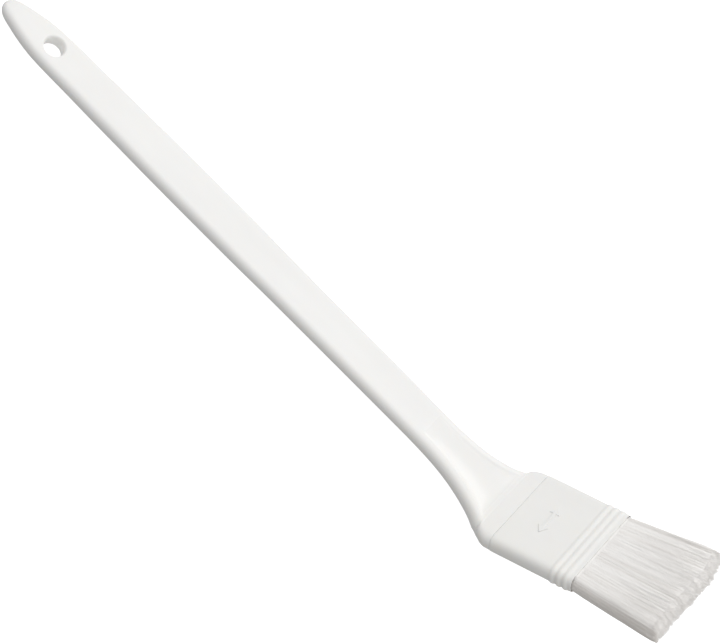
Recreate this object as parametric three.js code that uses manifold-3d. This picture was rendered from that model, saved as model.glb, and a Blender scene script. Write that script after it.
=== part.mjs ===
// Angled pastry brush, all white plastic: a long flat handle with a hanging eye, a neck that flares into a shoulder,
// a flat sleeve-like ferrule with three crimp beads, and two rows of flexible filaments set in resin.
// Units are millimetres, +Z up. The brush lies along +X, head end at +X, with the back of its neck on z = 0 and the flat
// back of its handle 1.8 mm above it, and the head rises from the neck. Origin: middle of the bounding box in X and Y, bottom face in Z.
import * as THREE from "three";
import { mergeVertices } from "three/addons/utils/BufferGeometryUtils.js";
import Module from "manifold-3d";

const wasm = await Module();
wasm.setup();

// ---------------------------------------------------------------- driving dimensions
const BEND_DEG = 31; // angle between the handle and the head
const BEND_R = 5.0; // radius of the centreline through the bend
const BEND_START = 320.8; // distance from the tip at which the bend begins
const SHOULDER_LEN = 8.5; // straight length of the shoulder after the bend, up to the ferrule

const EYE_X = 30.8; // hanging eye: distance of its centre from the tip
const EYE_THROAT_R = 4.7;
const EYE_LIP_R = 1.3; // rounding of both rims of the eye, measured outwards
const EYE_LIP_DEPTH = 2.8; // and measured into the thickness
const EYE_FLOOR_T = 7.6; // handle thickness around the eye
const EYE_Z = 5.8; // height of the middle of the thickness there

const PANEL_RIM = 0.4; // the neck's sunk panel starts this far inside the flat of the front face
const PANEL_SLOPE = 1.8; // width of the slope down to its floor

// Handle outline: distance from the tip, full width, full thickness, width of the rounded side, height of the middle of
// the thickness, depth of the panel that is sunk into the front of the neck.
const OUTLINE = [
  [0.0, 1.55, 1.6, 0.76, 5.8, 0.0],
  [0.5, 3.98, 3.4, 1.9, 5.8, 0.0],
  [1.4, 6.67, 4.9, 2.7, 5.8, 0.0],
  [3.0, 9.44, 6.0, 3.2, 5.8, 0.0],
  [5.5, 11.6, 6.8, 3.6, 5.8, 0.0],
  [9.0, 13.63, 7.3, 3.75, 5.8, 0.0],
  [14.0, 16.25, 7.5, 3.8, 5.8, 0.0],
  [19.0, 18.51, 7.6, 3.85, 5.8, 0.0],
  [24.0, 20.11, 7.6, 3.85, 5.8, 0.0],
  [30.0, 21.1, 7.6, 3.85, 5.8, 0.0],
  [38.0, 21.39, 7.6, 3.9, 5.8, 0.0],
  [50.0, 21.55, 7.8, 3.95, 5.8, 0.0],
  [66.0, 22.2, 8.0, 4.0, 5.8, 0.0],
  [84.0, 22.65, 8.0, 4.0, 5.8, 0.0],
  [100.0, 23.09, 8.0, 4.0, 5.8, 0.0],
  [125.0, 23.29, 8.0, 4.0, 5.8, 0.0],
  [155.0, 23.19, 8.0, 4.0, 5.8, 0.0],
  [180.0, 22.49, 8.0, 4.0, 5.8, 0.0],
  [215.0, 22.19, 8.0, 4.0, 5.8, 0.0],
  [250.0, 22.05, 8.0, 4.0, 5.75, 0.0],
  [270.0, 21.94, 8.0, 4.0, 5.65, 0.0],
  [278.0, 22.08, 8.0, 4.0, 5.5, 0.12],
  [284.0, 22.37, 8.05, 4.0, 5.3, 0.28],
  [289.5, 23.04, 8.1, 4.05, 5.1, 0.42],
  [294.0, 24.03, 8.2, 4.1, 4.9, 0.54],
  [298.5, 25.42, 8.25, 4.1, 4.7, 0.65],
  [303.0, 27.23, 8.3, 4.15, 4.5, 0.76],
  [307.5, 29.65, 8.35, 4.15, 4.35, 0.86],
  [312.0, 32.51, 8.4, 4.2, 4.25, 0.95],
  [316.2, 36.3, 8.4, 4.2, 4.2, 1.0],
  [319.6, 40.1, 8.4, 4.2, 4.2, 1.0],
];
// Sections through the bend: share of the bend angle, full width, full thickness, side rounding, panel depth.
const BEND_SECTIONS = [
  [0.12, 41.2, 8.4, 4.2, 1.0],
  [0.4, 42.5, 8.4, 4.2, 0.95],
  [0.7, 44.0, 8.5, 4.25, 0.85],
  [1.0, 45.3, 8.7, 4.35, 0.72],
];
// Outline of the shoulder after the bend: distance beyond the end of the bend, full width, full thickness, side
// rounding, panel depth.
const SHOULDER = [
  [0.6, 46.1, 8.8, 4.4, 0.6],
  [2.4, 48.5, 9.0, 4.5, 0.25],
  [4.0, 50.2, 9.2, 4.6, 0.05],
  [5.4, 50.9, 9.3, 4.65, 0],
  [SHOULDER_LEN - 0.7, 51.2, 9.3, 4.65, 0],
  [SHOULDER_LEN, 50.8, 8.8, 4.4, 0],
];

const FERRULE_W = 51.6; // outside width of the ferrule
const FERRULE_T = 9.4; // outside thickness
const FERRULE_WALL = 1.1;
const FERRULE_LEN = 43.4;
const FERRULE_FROM = SHOULDER_LEN + 0.3;
const BEAD_AT = [33.1, 36.55, 40.0]; // crimp beads: distance from the handle end of the ferrule
const BEAD_H = 0.45;
const BEAD_HALF = 1.3;

const FIT = 0.3; // working gap between touching pieces
const TANG_LEN = 14.8; // handle tang inside the ferrule
const RESIN_LEN = 10.5; // setting resin with the butts of the filaments
const STRIP_W = 38.0; // spacer strip between the filament rows
const STRIP_T = 1.6;

const HINGE_OUT = 1.0; // the filaments start to bend this far outside the ferrule
const LOCKS = 5; // the filament rows are divided across their width into this many locks
const BRISTLE_LEN = 47.6; // free length of the filaments
const MOUTH_W = 49.0; // width of the filament pack at the mouth
const TIP_W = 61.6; // and at its tips
const MOUTH_HALF_T = 3.3; // half thickness of the pack at the mouth
const TIP_HALF_T = 4.6; // and at its tips

const MARK_AT = 15.3; // raised width arrow on the ferrule: distance from its handle end
const MARK_SPAN = 17.5;
const MARK_HEAD = 5.2;
const MARK_SHAFT = 1.5;
const MARK_RISE = 0.45;

// ---------------------------------------------------------------- frames
const BEND = THREE.MathUtils.degToRad(BEND_DEG);
const NECK_Z = OUTLINE[OUTLINE.length - 1][2] / 2;
// Centre of the bend: it lies above the handle, so the head turns upwards.
const bendPoint = (angle, radius = BEND_R) =>
  new THREE.Vector3(BEND_START + radius * Math.sin(angle), 0, NECK_Z + BEND_R - radius * Math.cos(angle));
const HEAD_ORIGIN = bendPoint(BEND); // where the head's straight centreline begins
const headFrame = new THREE.Matrix4()
  .makeTranslation(HEAD_ORIGIN.x, 0, HEAD_ORIGIN.z)
  .multiply(new THREE.Matrix4().makeRotationY(-BEND));
// Head frame: x along the head away from the handle, y across it, z out of its front face.
const MOUTH = FERRULE_FROM + FERRULE_LEN;

// ---------------------------------------------------------------- shape helpers
// A closed cross-section: flat front and back with elliptical sides. Returns [y, z] pairs, counter-clockwise from +y.
const SIDE_STEPS = 8;
const FLAT_STEPS = 2;
function ring(width, thickness, side) {
  const h = width / 2, t = thickness / 2, a = Math.min(side, h - 0.01), flat = h - a, out = [];
  const arc = (cy, from) => {
    for (let i = 0; i <= SIDE_STEPS; i++) {
      const p = from + (Math.PI * i) / SIDE_STEPS;
      out.push([cy + a * Math.cos(p), t * Math.sin(p)]);
    }
  };
  arc(flat, -Math.PI / 2);
  for (let i = 1; i < FLAT_STEPS; i++) out.push([flat - (2 * flat * i) / FLAT_STEPS, t]);
  arc(-flat, Math.PI / 2);
  for (let i = 1; i < FLAT_STEPS; i++) out.push([-flat + (2 * flat * i) / FLAT_STEPS, -t]);
  return out;
}
// The same section with a panel sunk into its front.
function handleRing(width, thickness, side, depth) {
  const h = width / 2, t = thickness / 2, a = Math.min(side, h - 0.01), flat = h - a;
  const rim = Math.min(PANEL_RIM, flat * 0.2), foot = Math.min(PANEL_RIM + PANEL_SLOPE, flat * 0.6);
  const plain = ring(width, thickness, side), out = plain.slice(0, SIDE_STEPS + 1);
  for (const [y, z] of [[flat - rim, t], [flat - foot, t - depth * 0.8], [(flat - foot) / 2, t - depth], [0, t - depth],
    [-(flat - foot) / 2, t - depth], [foot - flat, t - depth * 0.8], [rim - flat, t]]) out.push([y, z]);
  return out.concat(plain.slice(SIDE_STEPS + FLAT_STEPS));
}
// A closed loft through rings that hold the same number of points, capped with fans around each end's middle.
function loft(rings) {
  const n = rings[0].length, pos = [], index = [];
  for (const r of rings) for (const p of r) pos.push(p.x, p.y, p.z);
  for (let i = 0; i + 1 < rings.length; i++)
    for (let j = 0; j < n; j++) {
      const a = i * n + j, b = i * n + ((j + 1) % n), c = a + n, d = b + n;
      index.push(a, b, d, a, d, c);
    }
  const cap = (base, flip) => {
    const c = new THREE.Vector3();
    for (let j = 0; j < n; j++) c.add(new THREE.Vector3(pos[(base + j) * 3], pos[(base + j) * 3 + 1], pos[(base + j) * 3 + 2]));
    c.divideScalar(n);
    const k = pos.length / 3;
    pos.push(c.x, c.y, c.z);
    for (let j = 0; j < n; j++) {
      const a = base + j, b = base + ((j + 1) % n);
      if (flip) index.push(k, b, a);
      else index.push(k, a, b);
    }
  };
  cap(0, true);
  cap((rings.length - 1) * n, false);
  return new THREE.BufferGeometry()
    .setAttribute("position", new THREE.BufferAttribute(new Float32Array(pos), 3))
    .setIndex(index);
}
// A section placed at a point of the spine with its normal turned by an angle about Y.
const place = (points, at, angle) =>
  points.map(([y, z]) => new THREE.Vector3(at.x - z * Math.sin(angle), y, at.z + z * Math.cos(angle)));
// Sections given in the head frame.
const headRing = (points, x) => points.map(([y, z]) => new THREE.Vector3(x, y, z));

// manifold-3d joins and cuts.
function solid(geometry) {
  let g = geometry.clone();
  for (const name of Object.keys(g.attributes)) if (name !== "position") g.deleteAttribute(name);
  g = mergeVertices(g, 1e-4);
  return new wasm.Manifold(
    new wasm.Mesh({ numProp: 3, vertProperties: new Float32Array(g.attributes.position.array), triVerts: new Uint32Array(g.index.array) }),
  );
}
function geometryOf(manifold) {
  const m = manifold.getMesh(), v = new Float32Array(m.numVert * 3);
  for (let i = 0; i < m.numVert; i++) v.set(m.vertProperties.subarray(i * m.numProp, i * m.numProp + 3), i * 3);
  return new THREE.BufferGeometry()
    .setAttribute("position", new THREE.BufferAttribute(v, 3))
    .setIndex(new THREE.BufferAttribute(new Uint32Array(m.triVerts), 1));
}
const inHead = (geometry) => geometry.clone().applyMatrix4(headFrame);

// ---------------------------------------------------------------- finishes
const plastic = (color, roughness) => new THREE.MeshStandardMaterial({ color, roughness, metalness: 0 });
const moulded = plastic(0xf2f2f0, 0.38);
const ferrulePlastic = plastic(0xecece9, 0.42);
const filament = plastic(0xe9e8e2, 0.5);
const root = plastic(0xe2e0d8, 0.6);
const resinLook = plastic(0xd9cfae, 0.35);
const stripLook = plastic(0xdedede, 0.6);

const brush = new THREE.Group();
brush.name = "pastry_brush";
const body = new THREE.Group(); // shifted so that the origin is the middle of the bottom
brush.add(body);
function add(name, geometry, material) {
  geometry.computeVertexNormals();
  const mesh = new THREE.Mesh(geometry, material);
  mesh.name = name;
  body.add(mesh);
  return mesh;
}

// ---------------------------------------------------------------- handle: one moulding with eye, neck, shoulder and tang
const rings = [];
for (const [x, w, t, a, z, depth] of OUTLINE) rings.push(place(handleRing(w, t, a, depth), new THREE.Vector3(x, 0, z), 0));
for (const [share, w, t, a, depth] of BEND_SECTIONS)
  rings.push(place(handleRing(w, t, a, depth), bendPoint(BEND * share), BEND * share));
const headDir = new THREE.Vector3(Math.cos(BEND), 0, Math.sin(BEND));
for (const [d, w, t, a, depth] of SHOULDER)
  rings.push(place(handleRing(w, t, a, depth), HEAD_ORIGIN.clone().addScaledVector(headDir, d), BEND));
const INNER_W = FERRULE_W - 2 * FERRULE_WALL, INNER_T = FERRULE_T - 2 * FERRULE_WALL;
const TANG_W = INNER_W - 2 * FIT, TANG_T = INNER_T - 2 * FIT;
// Tang with two glue grooves.
for (const [d, shrink] of [[0.02, 0], [3.4, 0], [4.0, 0.6], [5.4, 0.6], [6.0, 0], [9.4, 0], [10.0, 0.6], [11.4, 0.6], [12.0, 0], [13.8, 0], [TANG_LEN, 0.9]])
  rings.push(place(handleRing(TANG_W - 2 * shrink, TANG_T - 2 * shrink, (TANG_T - 2 * shrink) / 2, 0), HEAD_ORIGIN.clone().addScaledVector(headDir, SHOULDER_LEN + d), BEND));
let handle = solid(loft(rings));

// Hanging eye: a throat with a rounded lip on both faces, turned about the eye's axis.
const eyeProfile = [];
const half = EYE_FLOOR_T / 2, LIP_STEPS = 5;
eyeProfile.push([0, -half - 1.2], [EYE_THROAT_R + EYE_LIP_R + 0.35, -half - 1.2], [EYE_THROAT_R + EYE_LIP_R + 0.35, -half - 0.02]);
for (let i = 0; i <= LIP_STEPS; i++) {
  const p = (Math.PI / 2) * (i / LIP_STEPS);
  eyeProfile.push([EYE_THROAT_R + EYE_LIP_R * (1 - Math.sin(p)), -half - 0.02 + EYE_LIP_DEPTH * (1 - Math.cos(p))]);
}
for (let i = LIP_STEPS; i >= 0; i--) {
  const p = (Math.PI / 2) * (i / LIP_STEPS);
  eyeProfile.push([EYE_THROAT_R + EYE_LIP_R * (1 - Math.sin(p)), half + 0.02 - EYE_LIP_DEPTH * (1 - Math.cos(p))]);
}
eyeProfile.push([EYE_THROAT_R + EYE_LIP_R + 0.35, half + 0.02], [EYE_THROAT_R + EYE_LIP_R + 0.35, half + 1.2], [0, half + 1.2]);
const eyeCut = new THREE.LatheGeometry(eyeProfile.map(([r, y]) => new THREE.Vector2(r, y)), 40)
  .rotateX(Math.PI / 2)
  .translate(EYE_X, 0, EYE_Z);
handle = handle.subtract(solid(eyeCut));
add("handle", geometryOf(handle), moulded);

// ---------------------------------------------------------------- ferrule: a flat sleeve with beads and a raised width arrow
const outer = [];
const stations = [[0, -0.35], [0.35, 0], [BEAD_AT[0] - BEAD_HALF - 1.2, 0]];
for (const b of BEAD_AT)
  for (const [d, h] of [[-BEAD_HALF, 0], [-0.8, 0.62], [0, 1], [0.8, 0.62], [BEAD_HALF, 0]]) stations.push([b + d, h * BEAD_H]);
stations.push([FERRULE_LEN - 0.45, 0], [FERRULE_LEN, -0.4]);
for (const [x, grow] of stations) {
  const t = FERRULE_T + 2 * grow;
  outer.push(headRing(ring(FERRULE_W + 2 * grow, t, t / 2), FERRULE_FROM + x));
}
const inner = [-1, FERRULE_LEN + 1].map((x) => headRing(ring(INNER_W, INNER_T, INNER_T / 2), FERRULE_FROM + x));
let ferrule = solid(loft(outer)).subtract(solid(loft(inner)));
const arrow = new THREE.Shape();
const s2 = MARK_SPAN / 2, hh = MARK_HEAD / 2, sh = MARK_SHAFT / 2;
arrow.moveTo(0, -s2);
arrow.lineTo(hh, -s2 + MARK_HEAD * 0.8);
arrow.lineTo(sh, -s2 + MARK_HEAD * 0.8);
arrow.lineTo(sh, s2 - MARK_HEAD * 0.8);
arrow.lineTo(hh, s2 - MARK_HEAD * 0.8);
arrow.lineTo(0, s2);
arrow.lineTo(-hh, s2 - MARK_HEAD * 0.8);
arrow.lineTo(-sh, s2 - MARK_HEAD * 0.8);
arrow.lineTo(-sh, -s2 + MARK_HEAD * 0.8);
arrow.lineTo(-hh, -s2 + MARK_HEAD * 0.8);
const mark = new THREE.ExtrudeGeometry(arrow, { depth: 0.4 + MARK_RISE, bevelEnabled: false }).translate(
  FERRULE_FROM + MARK_AT, 0, FERRULE_T / 2 - 0.4);
ferrule = ferrule.add(solid(mark));
add("ferrule", inHead(geometryOf(ferrule)), ferrulePlastic);

// ---------------------------------------------------------------- inside the ferrule
const RESIN_FROM = SHOULDER_LEN + TANG_LEN + FIT;
const STRIP_FROM = RESIN_FROM + 3.0;
const ROOT_TO = MOUTH - 2.9; // the filaments' fixed length ends just under the bending ends
const STRIP_TO = ROOT_TO - 0.4;
const block = (x0, x1, w, t, side) => loft([x0, x1].map((x) => headRing(ring(w, t, side), x)));
const box = (x0, x1, y0, y1, z0, z1) =>
  new THREE.BoxGeometry(x1 - x0, y1 - y0, z1 - z0).translate((x0 + x1) / 2, (y0 + y1) / 2, (z0 + z1) / 2);

// Setting resin with the filament butts, slotted for the spacer strip.
const resin = solid(block(RESIN_FROM, RESIN_FROM + RESIN_LEN, TANG_W, TANG_T, TANG_T / 2)).subtract(
  solid(box(STRIP_FROM - FIT, RESIN_FROM + RESIN_LEN + 1, -STRIP_W / 2 - FIT, STRIP_W / 2 + FIT, -STRIP_T / 2 - FIT, STRIP_T / 2 + FIT)));
add("resin_setting", inHead(geometryOf(resin)), resinLook);
// Spacer strip between the front and rear rows.
add("spacer_strip", inHead(solid_box(STRIP_FROM, STRIP_TO, -STRIP_W / 2, STRIP_W / 2, -STRIP_T / 2, STRIP_T / 2)), stripLook);
function solid_box(...a) {
  return geometryOf(solid(box(...a)));
}
// Fixed lengths of the two filament rows, between the resin and the mouth.
const rootPack = block(RESIN_FROM + RESIN_LEN + FIT, ROOT_TO, TANG_W, TANG_T, TANG_T / 2);
for (const [name, z0, z1] of [["root_row_front", STRIP_T / 2 + FIT, 6], ["root_row_rear", -6, -STRIP_T / 2 - FIT]])
  add(name, inHead(geometryOf(solid(rootPack).intersect(solid(box(RESIN_FROM, MOUTH, -30, 30, z0, z1))))), root);

// ---------------------------------------------------------------- free filaments: a front and a rear row of locks
// The end of each lock inside the mouth is rounded about the line where the filaments start to bend.
const HINGE_X = MOUTH + HINGE_OUT;
function lockSection(front) {
  // Outline in the head's x-z plane, counter-clockwise, one row of the pack.
  const pts = [], gap = FIT / 2, r = MOUTH_HALF_T, tip = MOUTH + BRISTLE_LEN, steps = 5;
  const start = Math.asin(gap / r);
  for (let i = 0; i <= steps; i++) {
    const p = start + (Math.PI / 2 - start) * (i / steps);
    pts.push([HINGE_X - r * Math.cos(p), r * Math.sin(p)]);
  }
  pts.push([tip - 0.5, TIP_HALF_T], [tip, TIP_HALF_T - 0.5], [tip + 0.3, gap]);
  return front ? pts : pts.map(([x, z]) => [x, -z]);
}
// Width boundary number k of the pack at a distance along the head: straight inside, fanning out beyond the mouth.
const boundary = (k, x) => {
  const share = Math.max(0, x - MOUTH) / BRISTLE_LEN;
  return (MOUTH_W + (TIP_W - MOUTH_W) * share) * (k / LOCKS - 0.5);
};
function lock(k, front) {
  const section = lockSection(front), n = section.length, pos = [], index = [];
  // The outermost locks are rounded at their outer edge to follow the ferrule's round sides.
  const columns = k === 0 || k === LOCKS - 1 ? [0, 0.1, 0.26, 0.5, 1] : [0, 1];
  const cols = k === LOCKS - 1 ? columns.map((c) => 1 - c).reverse() : columns;
  cols.forEach((c) => {
    const edge = k === 0 ? c : k === LOCKS - 1 ? 1 - c : 1;
    // Share of the full thickness left at this distance from the outer edge.
    const keep = edge >= 0.5 ? 1 : Math.max(0.3, Math.sqrt(1 - ((0.5 - edge) / 0.5) ** 2));
    for (const [x, z] of section) {
      const y0 = boundary(k, x) + FIT / 2, y1 = boundary(k + 1, x) - FIT / 2;
      const cut = x > MOUTH + BRISTLE_LEN - 3 ? (1 - keep) * 2.4 : 0;
      const gap = (FIT / 2) * Math.sign(z);
      // The rounded end gets shorter with the thickness, so that it turns clear of the ferrule's round sides.
      const along = x < HINGE_X ? HINGE_X - (HINGE_X - x) * keep : x - cut;
      pos.push(along, y0 + (y1 - y0) * c, gap + (z - gap) * keep);
    }
  });
  const m = cols.length;
  for (let i = 0; i + 1 < m; i++)
    for (let j = 0; j < n; j++) {
      const a = i * n + j, b = i * n + ((j + 1) % n);
      index.push(a, b, b + n, a, b + n, a + n);
    }
  for (let j = 1; j + 1 < n; j++) {
    index.push(0, j + 1, j);
    const q = (m - 1) * n;
    index.push(q, q + j, q + j + 1);
  }
  if (!front) for (let i = 0; i < index.length; i += 3) [index[i + 1], index[i + 2]] = [index[i + 2], index[i + 1]];
  return new THREE.BufferGeometry()
    .setAttribute("position", new THREE.BufferAttribute(new Float32Array(pos), 3))
    .setIndex(index);
}
for (let k = 0; k < LOCKS; k++)
  for (const front of [true, false]) {
    let made = solid(lock(k, front));
    if (made.volume() < 0) {
      const g = lock(k, front), ix = g.index.array;
      for (let i = 0; i < ix.length; i += 3) [ix[i + 1], ix[i + 2]] = [ix[i + 2], ix[i + 1]];
      made = solid(g);
    }
    add(`lock_${front ? "front" : "rear"}_${k + 1}`, inHead(geometryOf(made)), filament);
  }

// ---------------------------------------------------------------- origin: middle of the box in X and Y, bottom in Z
const bounds = new THREE.Box3().setFromObject(body);
body.position.set(-(bounds.min.x + bounds.max.x) / 2, -(bounds.min.y + bounds.max.y) / 2, -bounds.min.z);

export default brush;
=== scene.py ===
# The looks of the angled pastry brush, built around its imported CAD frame.
import math

import bmesh
import bpy
import numpy as np
from mathutils import Matrix, Vector


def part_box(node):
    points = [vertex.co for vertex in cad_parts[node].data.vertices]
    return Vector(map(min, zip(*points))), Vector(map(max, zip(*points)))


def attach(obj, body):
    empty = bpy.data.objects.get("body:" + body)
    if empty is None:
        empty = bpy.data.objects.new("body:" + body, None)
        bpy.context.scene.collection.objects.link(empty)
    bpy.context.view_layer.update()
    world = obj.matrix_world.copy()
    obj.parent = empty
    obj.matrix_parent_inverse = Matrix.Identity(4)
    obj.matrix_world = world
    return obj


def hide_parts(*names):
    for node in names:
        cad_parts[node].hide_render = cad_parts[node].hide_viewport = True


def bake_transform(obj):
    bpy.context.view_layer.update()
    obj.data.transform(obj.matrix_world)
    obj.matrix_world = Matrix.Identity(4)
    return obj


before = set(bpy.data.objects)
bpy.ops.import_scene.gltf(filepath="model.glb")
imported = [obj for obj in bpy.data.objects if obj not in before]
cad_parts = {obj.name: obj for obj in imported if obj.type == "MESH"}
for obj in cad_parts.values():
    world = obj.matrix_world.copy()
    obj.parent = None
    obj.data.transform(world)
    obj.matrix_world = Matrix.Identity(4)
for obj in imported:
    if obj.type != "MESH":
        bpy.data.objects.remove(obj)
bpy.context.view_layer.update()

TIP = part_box("handle")[0].x  # the handle's hanging end, in metres
MM = 0.001

# ------------------------------------------------------------------ dimensions, in millimetres, as in the CAD
BEND = math.radians(31.0)
BEND_R = 5.0
BEND_START = 320.8
NECK_Z = 4.2
SHOULDER_LEN = 8.5
FERRULE_FROM = 8.8
FERRULE_LEN = 43.4
FERRULE_W, FERRULE_T, WALL = 51.6, 9.4, 1.1
BEADS = (33.1, 36.55, 40.0)
MOUTH = FERRULE_FROM + FERRULE_LEN
EYE_X, EYE_R, EYE_LIP, EYE_LIP_DEPTH = 30.8, 4.7, 1.3, 2.8
LOCKS = 5

# distance from the tip, full width, full thickness, width of the rounded side, height of the thickness's middle, depth of
# the panel sunk into the neck
OUTLINE = [
    (0.0, 1.55, 1.6, 0.76, 5.8, 0.0), (0.5, 3.98, 3.4, 1.9, 5.8, 0.0), (1.4, 6.67, 4.9, 2.7, 5.8, 0.0),
    (3.0, 9.44, 6.0, 3.2, 5.8, 0.0), (5.5, 11.6, 6.8, 3.6, 5.8, 0.0), (9.0, 13.63, 7.3, 3.75, 5.8, 0.0),
    (14.0, 16.25, 7.5, 3.8, 5.8, 0.0), (19.0, 18.51, 7.6, 3.85, 5.8, 0.0), (24.0, 20.11, 7.6, 3.85, 5.8, 0.0),
    (30.0, 21.1, 7.6, 3.85, 5.8, 0.0), (38.0, 21.39, 7.6, 3.9, 5.8, 0.0), (50.0, 21.55, 7.8, 3.95, 5.8, 0.0),
    (66.0, 22.2, 8.0, 4.0, 5.8, 0.0), (84.0, 22.65, 8.0, 4.0, 5.8, 0.0), (100.0, 23.09, 8.0, 4.0, 5.8, 0.0),
    (125.0, 23.29, 8.0, 4.0, 5.8, 0.0), (155.0, 23.19, 8.0, 4.0, 5.8, 0.0), (180.0, 22.49, 8.0, 4.0, 5.8, 0.0),
    (215.0, 22.19, 8.0, 4.0, 5.8, 0.0), (250.0, 22.05, 8.0, 4.0, 5.75, 0.0), (270.0, 21.94, 8.0, 4.0, 5.65, 0.0),
    (278.0, 22.08, 8.0, 4.0, 5.5, 0.12), (284.0, 22.37, 8.05, 4.0, 5.3, 0.28), (289.5, 23.04, 8.1, 4.05, 5.1, 0.42),
    (294.0, 24.03, 8.2, 4.1, 4.9, 0.54), (298.5, 25.42, 8.25, 4.1, 4.7, 0.65), (303.0, 27.23, 8.3, 4.15, 4.5, 0.76),
    (307.5, 29.65, 8.35, 4.15, 4.35, 0.86), (312.0, 32.51, 8.4, 4.2, 4.25, 0.95), (316.2, 36.3, 8.4, 4.2, 4.2, 1.0),
    (319.6, 40.1, 8.4, 4.2, 4.2, 1.0),
]
ARC = BEND_R * BEND
SECTIONS = OUTLINE + [(BEND_START + ARC * k, w, t, a, NECK_Z, d) for k, w, t, a, d in
                      ((0.12, 41.2, 8.4, 4.2, 1.0), (0.4, 42.5, 8.4, 4.2, 0.95), (0.7, 44.0, 8.5, 4.25, 0.85), (1.0, 45.3, 8.7, 4.35, 0.72))]
SECTIONS += [(BEND_START + ARC + d, w, t, a, NECK_Z, p) for d, w, t, a, p in
             ((0.6, 46.1, 8.8, 4.4, 0.6), (2.4, 48.5, 9.0, 4.5, 0.25), (4.0, 49.8, 9.2, 4.6, 0.05), (5.4, 50.4, 9.3, 4.65, 0.0),
              (SHOULDER_LEN - 0.7, 50.6, 9.3, 4.65, 0.0))]
S_END = BEND_START + ARC + SHOULDER_LEN - 0.7


def pchip(x, y, q):
    """Monotone cubic through the points."""
    x, y, q = map(lambda v: np.asarray(v, float), (x, y, q))
    h, d = np.diff(x), np.diff(y) / np.diff(x)
    m = np.zeros(len(x))
    for i in range(1, len(x) - 1):
        if d[i - 1] * d[i] > 0:
            w1, w2 = 2 * h[i] + h[i - 1], h[i] + 2 * h[i - 1]
            m[i] = (w1 + w2) / (w1 / d[i - 1] + w2 / d[i])
    m[0], m[-1] = d[0], d[-1]
    i = np.clip(np.searchsorted(x, q) - 1, 0, len(x) - 2)
    t = (q - x[i]) / h[i]
    return (y[i] * (2 * t**3 - 3 * t**2 + 1) + h[i] * m[i] * (t**3 - 2 * t**2 + t)
            + y[i + 1] * (3 * t**2 - 2 * t**3) + h[i] * m[i + 1] * (t**3 - t**2))


# A fine table of the section's sizes along the centreline, interpolated over the root of the distance so that the
# nose is round, then eased so that no station shows as a kink.
_sec = np.array(SECTIONS)
_sec[0, 1:4] = 0.0
TABLE_S = np.arange(0, S_END + 0.01, 0.05)
_root = np.sqrt(TABLE_S)
_tab = [pchip(np.sqrt(_sec[:, 0]), _sec[:, c], _root) for c in (1, 2, 3, 4, 5)]


def eased(values, sigma):
    """A Gaussian average over sigma millimetres, faded out at both ends."""
    n = int(sigma * 3 / 0.05)
    k = np.exp(-0.5 * (np.arange(-n, n + 1) * 0.05 / sigma) ** 2)
    k /= k.sum()
    soft = np.convolve(np.pad(values, n, mode="edge"), k, "valid")
    fade = np.clip((TABLE_S - 8) / 12, 0, 1) * np.clip((BEND_START - 3 - TABLE_S) / 8, 0, 1)
    return values * (1 - fade) + soft * fade


TAB_W, TAB_T, TAB_A, TAB_Z, TAB_D = (eased(v, 4.0) for v in _tab)


def sizes(s):
    w, t, a = (np.interp(s, TABLE_S, v) for v in (TAB_W, TAB_T, TAB_A))
    return w, t, np.minimum(a, w / 2 - 1e-4)


def centre_z(x):
    """Height of the middle of the thickness on the straight handle."""
    return np.interp(x, TABLE_S, TAB_Z)


SQUARE = 2.3  # exponent of the rounded sides: 2 is an ellipse, more is squarer


def arc_point(a, b, p, power=SQUARE):
    """A point of the rounded side at parameter angle p, from the equator to the face and on to the other side."""
    c, q = math.cos(p), math.sin(p)
    return a * math.copysign(abs(c) ** (2 / power), c), b * math.copysign(abs(q) ** (2 / power), q)


def front_height(x, y):
    """Height of the front face above the section's middle."""
    w, t, a = sizes(x)
    over = np.clip((np.abs(y) - (w / 2 - a)) / np.maximum(a, 1e-6), 0, 1)
    return t / 2 * np.maximum(1 - over**SQUARE, 0) ** (1 / SQUARE)


def row(x, y, z):
    """A point of the handle's frame in the row frame."""
    return (TIP + x * MM, y * MM, z * MM)


HEAD = (BEND_START + BEND_R * math.sin(BEND), NECK_Z + BEND_R - BEND_R * math.cos(BEND))


def head(x, y, z):
    """A point of the head's frame (x along the head, z out of its front) in the row frame."""
    c, s = math.cos(BEND), math.sin(BEND)
    return (TIP + (HEAD[0] + x * c - z * s) * MM, y * MM, (HEAD[1] + x * s + z * c) * MM)


def spine(s, y, z):
    """A point at distance s along the centreline, y across and z out of the front face."""
    if s <= BEND_START:
        return row(s, y, float(centre_z(s)) + z)
    if s <= BEND_START + ARC:
        p = (s - BEND_START) / BEND_R
        return row(BEND_START + BEND_R * math.sin(p) - z * math.sin(p), y,
                   NECK_Z + BEND_R - BEND_R * math.cos(p) + z * math.cos(p))
    return head(s - BEND_START - ARC, y, z)


def smooth(x):
    x = np.clip(x, 0, 1)
    return x * x * (3 - 2 * x)


# ------------------------------------------------------------------ mesh helpers
def make(name, verts, faces, material, shade=True):
    mesh = bpy.data.meshes.new(name)
    mesh.from_pydata([tuple(v) for v in verts], [], faces)
    mesh.validate()
    bm = bmesh.new()
    bm.from_mesh(mesh)
    bmesh.ops.recalc_face_normals(bm, faces=bm.faces)
    bm.to_mesh(mesh)
    bm.free()
    mesh.polygons.foreach_set("use_smooth", [shade] * len(mesh.polygons))
    obj = bpy.data.objects.new(name, mesh)
    bpy.context.scene.collection.objects.link(obj)
    mesh.materials.append(material)
    return obj


def bridge(faces, a, b):
    """Quads between two closed loops of vertex numbers."""
    n = len(a)
    for j in range(n):
        faces.append((a[j], a[(j + 1) % n], b[(j + 1) % n], b[j]))


# ------------------------------------------------------------------ materials
def node_material(name):
    mat = bpy.data.materials.new(name)
    mat.use_nodes = True
    tree = mat.node_tree
    return mat, tree, tree.nodes["Principled BSDF"]


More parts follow.
